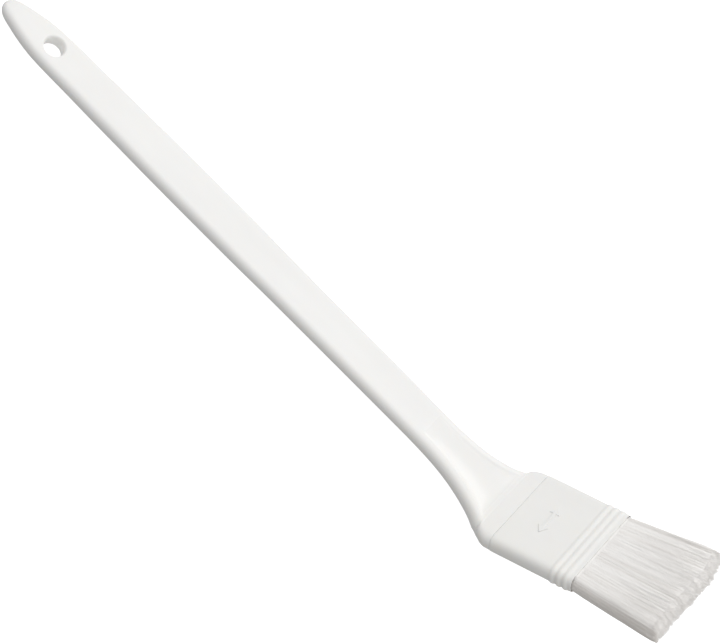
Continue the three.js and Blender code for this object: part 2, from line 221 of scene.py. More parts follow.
def noise(tree, scale, detail=3.0, rough=0.5, stretch=None, offset=(0, 0, 0)):
    coords = tree.nodes.new("ShaderNodeTexCoord")
    out = coords.outputs["Object"]
    if stretch or offset != (0, 0, 0):
        mapping = tree.nodes.new("ShaderNodeMapping")
        mapping.inputs["Scale"].default_value = stretch or (1, 1, 1)
        mapping.inputs["Location"].default_value = offset
        tree.links.new(out, mapping.inputs["Vector"])
        out = mapping.outputs["Vector"]
    tex = tree.nodes.new("ShaderNodeTexNoise")
    tex.inputs["Scale"].default_value = scale
    tex.inputs["Detail"].default_value = detail
    tex.inputs["Roughness"].default_value = rough
    tree.links.new(out, tex.inputs["Vector"])
    return tex.outputs["Fac"]


def ramp(tree, fac, stops):
    node = tree.nodes.new("ShaderNodeValToRGB")
    el = node.color_ramp.elements
    while len(el) < len(stops):
        el.new(0.5)
    for e, (pos, col) in zip(el, stops):
        e.position = pos
        e.color = (*col, 1) if len(col) == 3 else col
    tree.links.new(fac, node.inputs["Fac"])
    return node.outputs["Color"]


def map_range(tree, fac, lo, hi, from_lo=0.0, from_hi=1.0):
    node = tree.nodes.new("ShaderNodeMapRange")
    node.inputs["From Min"].default_value = from_lo
    node.inputs["From Max"].default_value = from_hi
    node.inputs["To Min"].default_value = lo
    node.inputs["To Max"].default_value = hi
    tree.links.new(fac, node.inputs["Value"])
    return node.outputs["Result"]


def add_values(tree, a, b, operation="ADD"):
    node = tree.nodes.new("ShaderNodeMath")
    node.operation = operation
    tree.links.new(a, node.inputs[0])
    if isinstance(b, (int, float)):
        node.inputs[1].default_value = b
    else:
        tree.links.new(b, node.inputs[1])
    return node.outputs[0]


def bump(tree, bsdf, height, strength, distance):
    node = tree.nodes.new("ShaderNodeBump")
    node.inputs["Strength"].default_value = strength
    node.inputs["Distance"].default_value = distance
    tree.links.new(height, node.inputs["Height"])
    tree.links.new(node.outputs["Normal"], bsdf.inputs["Normal"])


def moulded(name, base, rough, sss):
    """White moulded plastic: slight clouding, faint flow lines along the moulding, fine orange peel and handling haze."""
    mat, tree, bsdf = node_material(name)
    dark = tuple(c * 0.965 for c in base)
    warm = (base[0], base[1] * 0.994, base[2] * 0.975)
    cloud = noise(tree, 22, 3, 0.55, stretch=(0.5, 1.4, 1.4))
    tree.links.new(ramp(tree, cloud, [(0.28, dark), (0.5, base), (0.75, warm)]), bsdf.inputs["Base Color"])
    haze = noise(tree, 70, 4, 0.6, stretch=(0.6, 1.3, 1.3), offset=(0.3, 0.1, 0.2))
    matt = map_range(tree, haze, rough - 0.05, rough + 0.08, 0.3, 0.7)
    polished = tree.nodes.new("ShaderNodeAttribute")
    polished.attribute_name = "polish"
    tree.links.new(add_values(tree, matt, map_range(tree, polished.outputs["Fac"], 1.0, 0.4), "MULTIPLY"), bsdf.inputs["Roughness"])
    peel = noise(tree, 1500, 2, 0.5)
    flow = noise(tree, 260, 3, 0.5, stretch=(0.06, 1.0, 1.0))
    bump(tree, bsdf, add_values(tree, peel, add_values(tree, flow, 1.6, "MULTIPLY")), 0.16, 0.00006)
    bsdf.inputs["IOR"].default_value = 1.49
    bsdf.inputs["Subsurface Weight"].default_value = sss
    bsdf.inputs["Subsurface Radius"].default_value = (1.0, 0.85, 0.7)
    bsdf.inputs["Subsurface Scale"].default_value = 0.0016
    return mat


HANDLE_MAT = moulded("white_moulded_plastic", (0.87, 0.865, 0.85), 0.36, 0.2)
FERRULE_MAT = moulded("white_ferrule_plastic", (0.862, 0.854, 0.83), 0.36, 0.2)


def filament_material():
    mat, tree, bsdf = node_material("white_filament")
    # The per-filament attribute read here holds a random tone per tuft and filament, lowered on the pack's flanks as
    # painted shade; the ramp's dark warm end is mostly reached by that painted shade.
    tone_and_painted_shade = tree.nodes.new("ShaderNodeAttribute")
    tone_and_painted_shade.attribute_name = "tone_and_painted_shade"
    tree.links.new(ramp(tree, tone_and_painted_shade.outputs["Fac"], [(0.0, (0.84, 0.81, 0.775)), (0.4, (0.962, 0.943, 0.92)), (1.0, (0.985, 0.975, 0.96))]),
                   bsdf.inputs["Base Color"])
    streak = noise(tree, 900, 2, 0.5)
    tree.links.new(map_range(tree, streak, 0.3, 0.5, 0.3, 0.7), bsdf.inputs["Roughness"])
    bump(tree, bsdf, streak, 0.05, 0.00001)
    bsdf.inputs["IOR"].default_value = 1.5
    return mat


FILAMENT_MAT = filament_material()


def core_material():
    mat, tree, bsdf = node_material("packed_filaments")
    turned = tree.nodes.new("ShaderNodeTexCoord")
    mapping = tree.nodes.new("ShaderNodeMapping")
    mapping.inputs["Rotation"].default_value = (0, BEND, 0)
    tree.links.new(turned.outputs["Object"], mapping.inputs["Vector"])
    stretched = tree.nodes.new("ShaderNodeMapping")
    stretched.inputs["Scale"].default_value = (0.03, 1, 1)
    tree.links.new(mapping.outputs["Vector"], stretched.inputs["Vector"])
    tex = tree.nodes.new("ShaderNodeTexNoise")
    tex.inputs["Scale"].default_value = 1800
    tex.inputs["Detail"].default_value = 2
    tree.links.new(stretched.outputs["Vector"], tex.inputs["Vector"])
    tree.links.new(ramp(tree, tex.outputs["Fac"], [(0.3, (0.92, 0.90, 0.875)), (0.7, (0.96, 0.945, 0.925))]), bsdf.inputs["Base Color"])
    tree.links.new(map_range(tree, tex.outputs["Fac"], 0.4, 0.6, 0.3, 0.7), bsdf.inputs["Roughness"])
    bump(tree, bsdf, tex.outputs["Fac"], 0.5, 0.0001)
    return mat


CORE_MAT = core_material()


def plain_variation(name, base, rough, scale):
    mat, tree, bsdf = node_material(name)
    n = noise(tree, scale, 4, 0.6)
    tree.links.new(ramp(tree, n, [(0.3, tuple(c * 0.9 for c in base)), (0.7, base)]), bsdf.inputs["Base Color"])
    tree.links.new(map_range(tree, n, rough - 0.1, rough + 0.1, 0.3, 0.7), bsdf.inputs["Roughness"])
    bump(tree, bsdf, n, 0.3, 0.0002)
    return mat


# ------------------------------------------------------------------ handle
ARC_N, FLAT_N = 20, 26
TOP_N = 2 * ARC_N + FLAT_N  # top half: side, arc, flat, arc, side


def half_ring(s):
    """The front half of a section, from the +y side over the front to the -y side: (y, z) above the section's middle."""
    w, t, a = (float(v) for v in sizes(s))
    flat, pts = w / 2 - a, []
    for i in range(ARC_N + 1):
        y, z = arc_point(a, t / 2, math.pi / 2 * i / ARC_N)
        pts.append((flat + y, z))
    for i in range(1, FLAT_N):
        # closer together next to the rounded sides
        u = i / FLAT_N
        u = 0.5 - 0.5 * math.cos(math.pi * u) * (1 - 0.25 * math.sin(math.pi * u))
        pts.append((flat * (1 - 2 * u), t / 2))
    for i in range(ARC_N + 1):
        y, z = arc_point(a, t / 2, math.pi / 2 * (1 + i / ARC_N))
        pts.append((-flat + y, z))
    return pts


def scoop(s, y):
    """Depth of the panel sunk into the neck's front: a hollow floor between two rims."""
    w, t, a = sizes(s)
    rim = max(w / 2 - a - 0.2, 0.5)
    depth = np.interp(s, TABLE_S, TAB_D) * (1 - smooth((s - (BEND_START - 1.0)) / 6.0))
    along = smooth((s - 272.5) / 4.0) * (1 - smooth((s - (BEND_START - 4.0)) / 6.0))
    return 0.3 * (depth + 0.35 * along) * smooth((rim - np.abs(y)) / 1.3) + (0.7 * depth + 0.15 * along) * np.clip(1 - (y / rim) ** 2, 0, 1)


def run_on(point, height, s):
    """Lifts a point of the front until it is on the head's flat front face, which runs on to where it meets the neck in a
    soft crease. height is the point's share of the section's half thickness."""
    c, n = math.cos(BEND), math.sin(BEND)
    x, y, z = (point[0] - TIP) / MM, point[1] / MM, point[2] / MM
    out = -(x - HEAD[0]) * n + (z - HEAD[1]) * c
    want = 4.62 * height
    soft = 0.9 * (1 - float(smooth((s - BEND_START - 0.5) / 3.0))) * height
    lifted = (out + want + math.sqrt((out - want) ** 2 + soft**2)) / 2
    gain = (lifted - out) * float(smooth((s - 309.0) / 4.0)) * (1 - float(smooth((s - S_END + 1.5) / 1.5)))
    return row(x - gain * n, y, z + gain * c)


def polish(s, y):
    """Share of the finely polished finish, which is on the trough only."""
    w, t, a = sizes(s)
    rim = w / 2 - a - 0.3
    return float(smooth((s - 272.5) / 3.0) * (1 - smooth((s - (BEND_START - 4.0)) / 4.0)) * smooth((rim + 0.8 - abs(y)) / 1.2))


stations = [1e-4]
stations += list(6 * (np.linspace(0, 1, 22)[1:] ** 2))
stations += list(np.linspace(6, 22, 25)[1:])
stations += list(np.linspace(22, 39.2, 27)[1:])
stations += list(np.linspace(39.2, 268, 150)[1:])
stations += list(np.linspace(268, BEND_START - 1, 92)[1:])
stations += list(np.linspace(BEND_START - 1, BEND_START + ARC + 1, 22)[1:])
stations += list(np.linspace(BEND_START + ARC + 1, S_END, 18)[1:])
verts, rings, shine = [], [], {}
for s in stations:
    top = half_ring(s)
    ids = []
    for y, z in top:
        ids.append(len(verts))
        verts.append(run_on(spine(s, y, z - float(scoop(s, y))), min(1.0, z / (float(sizes(s)[1]) / 2)), s))
        shine[len(verts) - 1] = polish(s, y)
    for y, z in reversed(top[1:-1]):
        ids.append(len(verts))
        verts.append(spine(s, y, -z))
    rings.append(ids)
N = len(rings[0])
# The shoulder's end is rounded into the seam, then the tang goes on inside the ferrule.
for d, inset in ((SHOULDER_LEN - 0.12, 0.0), (SHOULDER_LEN - 0.04, 0.04), (SHOULDER_LEN, 0.14), (SHOULDER_LEN, 0.55), (SHOULDER_LEN, 1.75), (SHOULDER_LEN + 14.0, 1.75)):
    w, t, a = (float(v) for v in sizes(S_END))
    ids = []
    top = []
    for y, z in half_ring(S_END):
        k = 1 - inset / (t / 2)
        top.append((y - math.copysign(min(inset, abs(y)), y) * min(1, abs(y) / (w / 2 - a)), z * k))
    for y, z in top:
        ids.append(len(verts))
        verts.append(head(d, y, z))
    for y, z in reversed(top[1:-1]):
        ids.append(len(verts))
        verts.append(head(d, y, -z))
    rings.append(ids)

# The hanging eye: inside a rectangle of the front and back grids the quads are replaced by rays that run to the
# eye's rounded lip, and the two lips are joined by the throat.
iA = min(range(len(stations)), key=lambda i: abs(stations[i] - (EYE_X - 8.3)))
iB = min(range(len(stations)), key=lambda i: abs(stations[i] - (EYE_X + 8.4)))
jA = next(j for j, (y, z) in enumerate(half_ring(EYE_X)) if y < 8.4)
jB = TOP_N - jA
faces = []
for i in range(len(rings) - 1):
    for j in range(N):
        k = (j + 1) % N
        in_x = iA <= i < iB
        top_quad = jA <= j < jB
        jm, km = (N - j) % N, (N - k) % N  # the mirrored indices, for the back
        back_quad = jA <= min(jm, km) and max(jm, km) <= jB and j > TOP_N
        if in_x and (top_quad or back_quad):
            continue
        faces.append((rings[i][j], rings[i][k], rings[i + 1][k], rings[i + 1][j]))
last = rings[-1]
centre = len(verts)
verts.append(head(SHOULDER_LEN + 14.0, 0, 0))
for j in range(N):
    faces.append((last[j], last[(j + 1) % N], centre))
nose = len(verts)
verts.append(row(0, 0, float(centre_z(0.0))))
for j in range(N):
    faces.append((rings[0][(j + 1) % N], rings[0][j], nose))


def eye_patch(side):
    """side +1 for the front, -1 for the back. Returns the throat's loop."""
    loop = []
    index = (lambda j: j) if side > 0 else (lambda j: (N - j) % N)
    for i in range(iA, iB):
        loop.append((i, jA))
    for j in range(jA, jB):
        loop.append((iB, j))
    for i in range(iB, iA, -1):
        loop.append((i, jB))
    for j in range(jB, jA, -1):
        loop.append((iA, j))
    outer = [rings[i][index(j)] for i, j in loop]
    spots = [((verts[v][0] - TIP) / MM, verts[v][1] / MM) for v in outer]
    steps = []
    for q in range(9):
        al = math.pi / 2 * q / 8
        steps.append((EYE_R + EYE_LIP * (1 - math.cos(al)), EYE_LIP_DEPTH * (1 - math.sin(al)), None))
    for share in (0.12, 0.3, 0.52, 0.76):
        steps.append((None, 0.0, share))
    previous, first = None, None
    for r, drop, share in steps:
        ids = []
        for x, y in spots:
            dx, dy = x - EYE_X, y
            far = math.hypot(dx, dy)
            rr = r if r is not None else (EYE_R + EYE_LIP) + (far - EYE_R - EYE_LIP) * share
            px, py = EYE_X + dx / far * rr, dy / far * rr
            z = float(centre_z(px)) + side * (float(front_height(px, py)) - drop)
            ids.append(len(verts))
            verts.append(row(px, py, z))
        if previous:
            bridge(faces, previous, ids)
        else:
            first = ids
        previous = ids
    bridge(faces, previous, outer)
    return first


front_loop, back_loop = eye_patch(1), eye_patch(-1)
middle = [front_loop]
for k in (0.25, 0.5, 0.75):
    ids = []
    for a, b in zip(front_loop, back_loop):
        pa, pb = Vector(verts[a]), Vector(verts[b])
        p = pa.lerp(pb, k)
        inward = 0.06 * math.sin(math.pi * k)  # the slight draft towards the parting plane
        dx, dy = (p.x - TIP) / MM - EYE_X, p.y / MM
        r = math.hypot(dx, dy)
        ids.append(len(verts))
        verts.append((p.x - dx / r * inward * MM, p.y - dy / r * inward * MM, p.z))
    middle.append(ids)
middle.append(back_loop)
for a, b in zip(middle, middle[1:]):
    bridge(faces, a, b)
handle = make("handle_moulding", verts, faces, HANDLE_MAT)
att = handle.data.attributes.new("polish", "FLOAT", "POINT")
att.data.foreach_set("value", [shine.get(i, 0.0) for i in range(len(handle.data.vertices))])
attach(handle, "handle_assembly")
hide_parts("handle")


# ------------------------------------------------------------------ ferrule
SLEEVE_W = 50.8  # the sleeve's squarer sides reach as far as the CAD's rounder ones


def stadium(width, thickness, steps=30, flat_steps=30, power=2.5):
    r, out = thickness / 2, []
    flat = width / 2 - r
    for i in range(steps + 1):
        y, z = arc_point(r, r, -math.pi / 2 + math.pi * i / steps, power)
        out.append((flat + y, z))
    for i in range(1, flat_steps):
        out.append((flat - 2 * flat * i / flat_steps, r))
    for i in range(steps + 1):
        y, z = arc_point(r, r, math.pi / 2 + math.pi * i / steps, power)
        out.append((-flat + y, z))
    for i in range(1, flat_steps):
        out.append((-flat + 2 * flat * i / flat_steps, -r))
    return out


def bead(x):
    """Rise of the sleeve's surface at a distance from its handle end: three full round beads side by side."""
    d = min(abs(x - b) for b in BEADS)
    if d >= 1.75:
        return 0.0
    return 0.46 * (0.5 + 0.5 * math.cos(math.pi * d / 1.75)) ** 0.85


def ferrule_rings():
    x_out = [(-0.21, -0.42), (-0.21, -0.16), (-0.17, -0.06), (-0.1, -0.01), (0.05, 0.0)]
    x_out += [(x, bead(x)) for x in np.arange(1.2, 31.0, 1.2)]
    x_out += [(x, bead(x)) for x in np.arange(31.0, 41.9, 0.16)]
    for i in range(9):
        p = math.pi / 2 * i / 8
        x_out.append((FERRULE_LEN - 0.26 + 0.26 * math.sin(p), -0.26 * (1 - math.cos(p))))
    return x_out


verts, faces, loops = [], [], []
for x, up in ferrule_rings():
    ids = []
    for y, z in stadium(SLEEVE_W + 2 * up, FERRULE_T + 2 * up):
        ids.append(len(verts))
        verts.append(head(FERRULE_FROM + x, y, z))
    loops.append(ids)
for x, inset in ((FERRULE_LEN - 0.02, 0.3), (FERRULE_LEN - 0.3, 0.36), (FERRULE_LEN - 1.4, 0.75), (FERRULE_LEN - 3.0, WALL), (FERRULE_LEN - 8, WALL), (6.0, WALL), (0.3, WALL), (-0.1, 0.9)):
    ids = []
    for y, z in stadium(SLEEVE_W - 2 * inset, FERRULE_T - 2 * inset):
        ids.append(len(verts))
        verts.append(head(FERRULE_FROM + x, y, z))
    loops.append(ids)
for a, b in zip(loops, loops[1:]):
    bridge(faces, a, b)
bridge(faces, loops[-1], loops[0])
ferrule = make("ferrule_sleeve", verts, faces, FERRULE_MAT)
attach(ferrule, "handle_assembly")
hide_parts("ferrule")

# A raised double-headed arrow across the ferrule shows its width.
MARK_AT, SPAN, HEAD_W, SHAFT, RISE = 15.3, 17.5, 5.2, 1.5, 0.42
h, w, s = SPAN / 2, HEAD_W / 2, SHAFT / 2
outline = [(0, -h), (w, -h + HEAD_W * 0.8), (s, -h + HEAD_W * 0.8), (s, h - HEAD_W * 0.8), (w, h - HEAD_W * 0.8), (0, h),
           (-w, h - HEAD_W * 0.8), (-s, h - HEAD_W * 0.8), (-s, -h + HEAD_W * 0.8), (-w, -h + HEAD_W * 0.8)]
bm = bmesh.new()
base = [bm.verts.new((x, y, 0)) for x, y in outline]
face = bm.faces.new(base)
up = bmesh.ops.extrude_face_region(bm, geom=[face])
top_verts = [g for g in up["geom"] if isinstance(g, bmesh.types.BMVert)]
for v in top_verts:
    v.co.z += RISE + 0.3
bmesh.ops.recalc_face_normals(bm, faces=bm.faces)
top_edges = [e for e in bm.edges if all(v in top_verts for v in e.verts)]
sides = [e for e in bm.edges if (e.verts[0] in top_verts) != (e.verts[1] in top_verts)]
bmesh.ops.bevel(bm, geom=top_edges + sides, offset=0.24, segments=4, profile=0.5, affect="EDGES", clamp_overlap=True)
for v in bm.verts:
    v.co = Vector(head(FERRULE_FROM + MARK_AT + v.co.x, v.co.y, FERRULE_T / 2 - 0.3 + v.co.z))
mesh = bpy.data.meshes.new("ferrule_width_arrow")
bm.to_mesh(mesh)
bm.free()
mesh.polygons.foreach_set("use_smooth", [True] * len(mesh.polygons))
mark = bpy.data.objects.new("ferrule_width_arrow", mesh)
bpy.context.scene.collection.objects.link(mark)
mesh.materials.append(FERRULE_MAT)
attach(mark, "handle_assembly")

# ------------------------------------------------------------------ filaments
FREE = 48.2
STRANDS = 6400
SEGS, SIDES = 8, 4
rng = np.random.default_rng(20417)
IN_W, IN_T = FERRULE_W - 2 * WALL, FERRULE_T - 2 * WALL


def pack_half_width(s):
    return 24.72 + 0.28 * smooth(np.clip(s, 0, None) / 4) + 0.118 * np.clip(s, 0, None) - 0.0003 * np.clip(s, 0, None) ** 2


def pack_half_thick(s):
    return 3.62 + 0.84 * smooth((np.clip(s, -2.0, None) + 2.0) / 1.7) + 0.26 * smooth(np.clip(s, 0, None) / FREE)


def cell_noise(seed, points, scale):
    """Smooth random field: value noise over a lattice."""
    r = np.random.default_rng(seed)
    grid = r.uniform(-1, 1, (64, 32, 32))
    p = points / scale + 7.3
    i = np.floor(p).astype(int)
    f = p - i
    f = f * f * (3 - 2 * f)
    out = 0
    for dx in (0, 1):
        for dy in (0, 1):
            for dz in (0, 1):
                wgt = (f[..., 0] if dx else 1 - f[..., 0]) * (f[..., 1] if dy else 1 - f[..., 1]) * (f[..., 2] if dz else 1 - f[..., 2])
                out = out + wgt * grid[(i[..., 0] + dx) % 64, (i[..., 1] + dy) % 32, (i[..., 2] + dz) % 32]
    return out


TIP_DOME = 3.6
CORE_SHORT = 1.5  # the solid middle ends this far below the tips


def tip_length(y, n):
    """Free length of a filament by its place in the pack: the cut is a little slanted and domed, and worn round at the far corner."""
    flat = 44.75 + 1.2 * smooth((y + 16) / 32)
    far = 3.0 * np.clip((y - 13.5) / 15, 0, 2) ** 1.35
    near = 0.5 * np.clip((-y - 26) / 4, 0, 2) ** 1.6
    return flat - far - near + TIP_DOME * (1 - np.clip(np.abs(n) / 4.5, 0, 1) ** 2)


# Places at the mouth: a jittered hexagonal packing inside the ferrule.
pitch = math.sqrt(IN_W * IN_T / STRANDS * 2 / math.sqrt(3)) * 0.985
spots = []
rows_n = int(IN_T / (pitch * math.sqrt(3) / 2)) + 1
for a in range(rows_n):
    n0 = -IN_T / 2 + 0.16 + a * (IN_T - 0.32) / max(1, rows_n - 1)
    for y0 in np.arange(-IN_W / 2 + (a % 2) * pitch / 2, IN_W / 2, pitch):
        spots.append((y0, n0))
spots = np.array(spots) + rng.uniform(-0.35, 0.35, (len(spots), 2)) * pitch
r_in = IN_T / 2 - 0.14
edge = np.maximum(np.abs(spots[:, 0]) - (IN_W / 2 - IN_T / 2), 0)
spots = spots[(edge**2 + spots[:, 1] ** 2) < r_in**2]
# A close-set skin of filaments round the outside of the pack.
girth = np.array(stadium(IN_W - 0.26, IN_T - 0.26, power=2.0))
step_len = np.linalg.norm(np.diff(np.vstack([girth, girth[:1]]), axis=0), axis=1)
run = np.concatenate([[0], np.cumsum(step_len)])
for inset, every in ((0.0, 0.165), (0.16, 0.2)):
    at = np.arange(0, run[-1], every)
    at = (at + rng.uniform(-0.3, 0.3, len(at)) * every) % run[-1]
    ring_y = np.interp(at, run, np.append(girth[:, 0], girth[0, 0]))
    ring_n = np.interp(at, run, np.append(girth[:, 1], girth[0, 1]))
    spots = np.vstack([spots, np.stack([ring_y * (1 - inset / (IN_W / 2)), ring_n * (1 - inset / (IN_T / 2))], 1)])
    if inset == 0.0:
        skin_from, skin_to = len(spots) - len(at), len(spots)
total = len(spots)
share_y = spots[:, 0] / (IN_W / 2)
share_n = spots[:, 1] / (IN_T / 2)

# Tufts that the filaments gather into towards their tips; each stays inside its own lock.
lock_of = np.clip(((share_y + 1) / 2 * LOCKS).astype(int), 0, LOCKS - 1)
tufts = []
for k in range(LOCKS):
    lo, hi = -1 + 2 * k / LOCKS, -1 + 2 * (k + 1) / LOCKS
    m = 46
    cy = lo + (hi - lo) * (np.arange(m) + rng.uniform(0.15, 0.85, m)) / m
    cn = rng.uniform(-0.96, 0.96, m)
    tufts.append(np.stack([np.clip(cy, lo + 0.012, hi - 0.012), cn], 1))
gather = rng.uniform(0.10, 0.36, total)
gather[skin_from:] *= 0.5
target = np.zeros((total, 2))
for k in range(LOCKS):
    own = np.where(lock_of == k)[0]
    d = ((share_y[own, None] - tufts[k][None, :, 0]) * 6.0) ** 2 + (share_n[own, None] - tufts[k][None, :, 1]) ** 2
    target[own] = tufts[k][np.argmin(d, 1)]

along = np.concatenate([[-2.55], np.linspace(0.4, 1, SEGS) ** 1.0])
steps = np.array([0.0, 0.09, 0.2, 0.31, 0.42, 0.53, 0.64, 0.76, 0.88, 1.0])
s_start = -2.55
paths = np.zeros((total, len(steps), 3))
length_jitter = np.abs(rng.normal(0, 0.6, total)) + (rng.random(total) < 0.05) * rng.uniform(0.5, 3.2, total) - (rng.random(total) < 0.05) * rng.uniform(0.3, 1.6, total)
splay = rng.normal(0, 1, (total, 2))
curl = rng.normal(0, 1, (total, 2))
for i, q in enumerate(steps):
    s_here = s_start + (FREE - s_start) * q
    rise = np.clip(s_here / FREE, 0, 1)
    pull = gather * smooth(rise) * 0.75
    sy = share_y * (1 - pull) + target[:, 0] * pull
    sn = share_n * (1 - 0.15 * pull) + target[:, 1] * 0.15 * pull
    y = sy * pack_half_width(s_here)
    n = sn * pack_half_thick(s_here)
    p3 = np.stack([np.full(total, s_here * 0.5), y, n], 1)
    y = y + 0.22 * rise**1.3 * cell_noise(5, p3, 2.6) + 0.10 * rise**1.5 * splay[:, 0] + 0.07 * np.sin(q * 9 + curl[:, 0] * 3) * rise
    n = n + 0.14 * rise**1.3 * cell_noise(6, p3, 2.2) + 0.09 * rise**1.5 * splay[:, 1] + 0.06 * np.sin(q * 8 + curl[:, 1] * 3) * rise
    paths[:, i] = np.stack([np.full(total, s_here), y, n], 1)
tuft_length = rng.normal(0, 0.42, (LOCKS, 46))
for k in range(LOCKS):
    own = np.where(lock_of == k)[0]
    d = (target[own, None, 0] - tufts[k][None, :, 0]) ** 2 + (target[own, None, 1] - tufts[k][None, :, 1]) ** 2
    length_jitter[own] += tuft_length[k][np.argmin(d, 1)]
# A few filaments have sprung away from the sides of the pack.
sprung = (np.abs(share_y) > 0.955) & (rng.random(total) < np.where(share_y > 0, 0.11, 0.03))
spring = np.where(sprung, rng.uniform(0.35, 1.5, total), 0.0) * np.sign(share_y)
paths[:, :, 1] += spring[:, None] * np.clip(paths[:, :, 0] / FREE, 0, 1) ** 1.7
# Each filament's own length
tip_y, tip_n = paths[:, -1, 1].copy(), paths[:, -1, 2].copy()
own_len = tip_length(tip_y, tip_n) - length_jitter
keep_share = (own_len - s_start) / (FREE - s_start)
cut = np.zeros_like(paths)
for i, q in enumerate(steps):
    want = q * keep_share
    k = np.clip(np.searchsorted(steps, want) - 1, 0, len(steps) - 2)
    f = (want - steps[k]) / (steps[k + 1] - steps[k])
    idx = np.arange(total)
    cut[:, i] = paths[idx, k] * (1 - f)[:, None] + paths[idx, k + 1] * f[:, None]
paths = cut
# Nothing leaves its lock's wedge, so that the locks flex past each other.
for k in range(LOCKS):
    own = np.where(lock_of == k)[0]
    hw = pack_half_width(paths[own, :, 0])
    lo, hi = -1 + 2 * k / LOCKS, -1 + 2 * (k + 1) / LOCKS
    y = paths[own, :, 1]
    if k > 0:
        y = np.maximum(y, lo * hw + 0.13)
    if k < LOCKS - 1:
        y = np.minimum(y, hi * hw - 0.13)
    paths[own, :, 1] = y



def core_mesh(k):
    """The close-packed middle of one lock: a smooth closed body a little below its outermost filaments and tips."""
    lo, hi = -1 + 2 * k / LOCKS, -1 + 2 * (k + 1) / LOCKS
    cols = 25
    stations = [(-2.6 / FREE + (1 + 2.6 / FREE) * i / 26, 1.0) for i in range(27)] + [(None, math.cos(math.radians(a))) for a in (14, 28, 42, 56, 70, 80)]
    verts, loops = [], []
    for q, shrink in stations:
        ring = []
        for j in range(cols):
            part = lo + (hi - lo) * j / (cols - 1)
            reach_s = float(tip_length(part * 29.5, 4.5)) - CORE_SHORT
            s = reach_s * q if q is not None else reach_s + TIP_DOME * 0.9 * (1 - shrink**2)
            hw, ht = float(pack_half_width(s)) - 0.34, float(pack_half_thick(s)) - 0.26
            y = part * hw + (0.14 if j == 0 and k > 0 else 0) - (0.14 if j == cols - 1 and k < LOCKS - 1 else 0)
            over = min(1.0, max(0.0, abs(y) - (hw - ht)) / ht)
            n = ht * math.sqrt(max(0.02, 1 - over**2)) * shrink
            ring.append((s, y, n))
        ids = []
        for s, y, n in ring + [(s, y, -n) for s, y, n in reversed(ring)]:
            ids.append(len(verts))
            verts.append(head(MOUTH + s, y, n))
        loops.append(ids)
    faces = []
    for a, b in zip(loops, loops[1:]):
        bridge(faces, a, b)
    faces.append(tuple(reversed(loops[0])))
    faces.append(tuple(loops[-1]))
    return verts, faces


tint_tuft = rng.uniform(0, 1, (LOCKS, 46))
radius0 = rng.uniform(0.095, 0.125, total)
for k in range(LOCKS):
    own = np.where(lock_of == k)[0]
    P = paths[own]  # strands, steps, (s, y, n)
    count, m = P.shape[:2]
    T = np.gradient(P, axis=1)
    T /= np.linalg.norm(T, axis=2, keepdims=True)
    ref = np.array([0.0, 0.0, 1.0])
    A = np.cross(T, ref)
    A /= np.linalg.norm(A, axis=2, keepdims=True)
    B = np.cross(T, A)
    rad = radius0[own][:, None] * (1 - 0.38 * steps[None, :] ** 1.6)
    rad[:, -1] *= 0.62
    twist = rng.uniform(0, math.pi, count)
    V = np.zeros((count, m, SIDES, 3))
    for j in range(SIDES):
        ang = twist[:, None] + 2 * math.pi * j / SIDES
        V[:, :, j] = P + (A * np.cos(ang)[..., None] + B * np.sin(ang)[..., None]) * rad[..., None]
    V = V.reshape(-1, 3)
    c, sn_ = math.cos(BEND), math.sin(BEND)
    X = MOUTH + V[:, 0]
    world = np.stack([TIP + (HEAD[0] + X * c - V[:, 2] * sn_) * MM, V[:, 1] * MM, (HEAD[1] + X * sn_ + V[:, 2] * c) * MM], 1)
    base_i = (np.arange(count) * m * SIDES)[:, None, None]
    ring_i = (np.arange(m - 1) * SIDES)[None, :, None]
    j = np.arange(SIDES)[None, None, :]
    a_ = base_i + ring_i + j
    b_ = base_i + ring_i + (j + 1) % SIDES
    quads = np.stack([a_, b_, b_ + SIDES, a_ + SIDES], -1).reshape(-1, 4)
    tips = base_i[:, 0, :] + (m - 1) * SIDES + np.arange(SIDES)[None, :]
    roots = base_i[:, 0, :] + np.arange(SIDES)[None, ::-1]
    polys = np.concatenate([quads, tips.reshape(-1, 4), roots.reshape(-1, 4)])
    mesh = bpy.data.meshes.new(f"filaments_{k + 1}")
    mesh.vertices.add(len(world))
    mesh.vertices.foreach_set("co", world.astype(np.float32).ravel())
    mesh.loops.add(len(polys) * 4)
    mesh.loops.foreach_set("vertex_index", polys.astype(np.int32).ravel())
    mesh.polygons.add(len(polys))
    mesh.polygons.foreach_set("loop_start", (np.arange(len(polys)) * 4).astype(np.int32))
    mesh.polygons.foreach_set("use_smooth", np.ones(len(polys), bool))
    mesh.update(calc_edges=True)
    mesh.validate()
    tuft_id = np.argmin(((target[own, None, 0] - tufts[k][None, :, 0]) ** 2 + (target[own, None, 1] - tufts[k][None, :, 1]) ** 2), 1)
    tone_and_painted_shade = 0.5 + 0.45 * (tint_tuft[k][tuft_id] - 0.5) + rng.normal(0, 0.16, count)
    painted_flank_shade = smooth((np.abs(share_y[own]) - 0.905) / 0.06)  # painted shade: the filaments on the pack's flanks are darkened, over most of the near (-y) flank and only low down on the far one
    # painted shade: lowers the flank filaments' colour below the top of the near side and on the lower part of the far
    # side
    tone_and_painted_shade -= 0.8 * painted_flank_shade * smooth((np.where(share_y[own] < 0, 0.95, 0.35) - share_n[own]) / 0.6)
    tone_and_painted_shade = np.clip(tone_and_painted_shade, 0, 1)
    att = mesh.attributes.new("tone_and_painted_shade", "FLOAT", "POINT")
    att.data.foreach_set("value", np.repeat(tone_and_painted_shade, m * SIDES).astype(np.float32))
    obj = bpy.data.objects.new(f"filaments_{k + 1}", mesh)
    bpy.context.scene.collection.objects.link(obj)
    mesh.materials.append(FILAMENT_MAT)
    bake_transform(obj)
    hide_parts(f"lock_front_{k + 1}", f"lock_rear_{k + 1}")
    core = make(f"filament_core_{k + 1}", *core_mesh(k), CORE_MAT)
    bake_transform(core)

